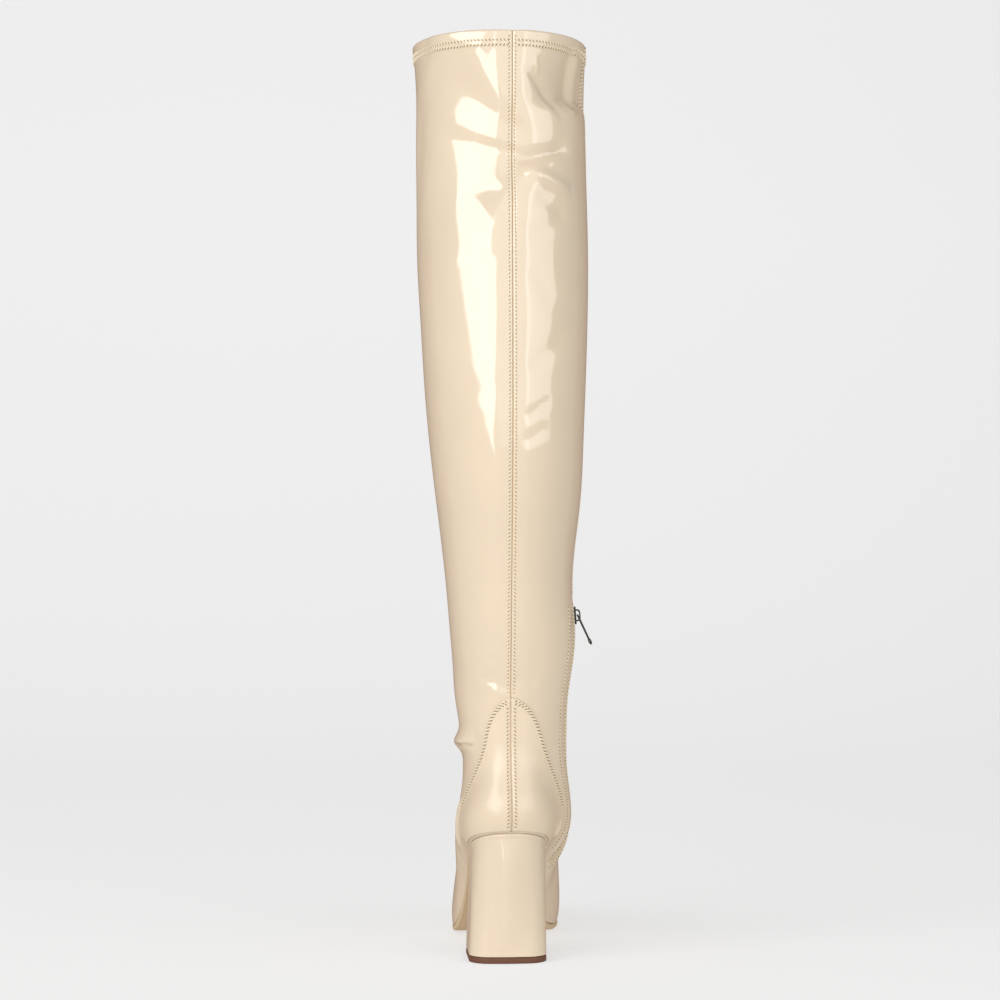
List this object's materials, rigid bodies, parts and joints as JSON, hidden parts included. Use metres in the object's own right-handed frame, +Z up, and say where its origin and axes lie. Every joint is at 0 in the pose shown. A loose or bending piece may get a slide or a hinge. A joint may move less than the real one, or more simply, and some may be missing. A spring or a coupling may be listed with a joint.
{
  "type": "over-the-knee boot",
  "caption": "Left over-the-knee boot in glossy cream stretch patent with a covered block heel, stitched heel counter and short zip at the inner ankle.",
  "frame": {"origin": "on the floor, under the middle of the heel's tread", "axes": "+Z up, +Y from heel to toe, +X to the inner (medial) side of this left foot"},
  "size_m": [0.122, 0.255, 0.622],
  "materials": {
    "cream_patent": "high-gloss stretch patent",
    "cream_patent_counter": "high-gloss stretch patent",
    "cream_patent_heel": "high-gloss patent cover",
    "beige_sole": "satin resin",
    "brown_rubber": "matte",
    "insole_lining": "matte lining",
    "cream_tape": "woven",
    "cream_coil": "satin nylon coil",
    "dark_nickel": "dark nickel plate",
    "dark_nickel_pull": "dark nickel plate"
  },
  "bodies": {
    "boot": {"upper": "cream_patent", "counter_inner": "cream_patent_counter", "counter_outer": "cream_patent_counter", "outsole": "beige_sole", "heel": "cream_patent_heel", "top_lift": "brown_rubber", "insole": "insole_lining", "zip_tape": "cream_tape", "zip_teeth": "cream_coil", "zip_slider": "dark_nickel"},
    "pull_tab": {"zip_pull": "dark_nickel_pull"}
  },
  "joints": [
    {"name": "pull_swing", "type": "hinge", "parent": "boot", "child": "pull_tab", "pos_m": [0.04846, 0.0151, 0.23089], "axis": [-0.128, -0.9916, -0.0179], "range_deg": [-20, 130]}
  ]
}
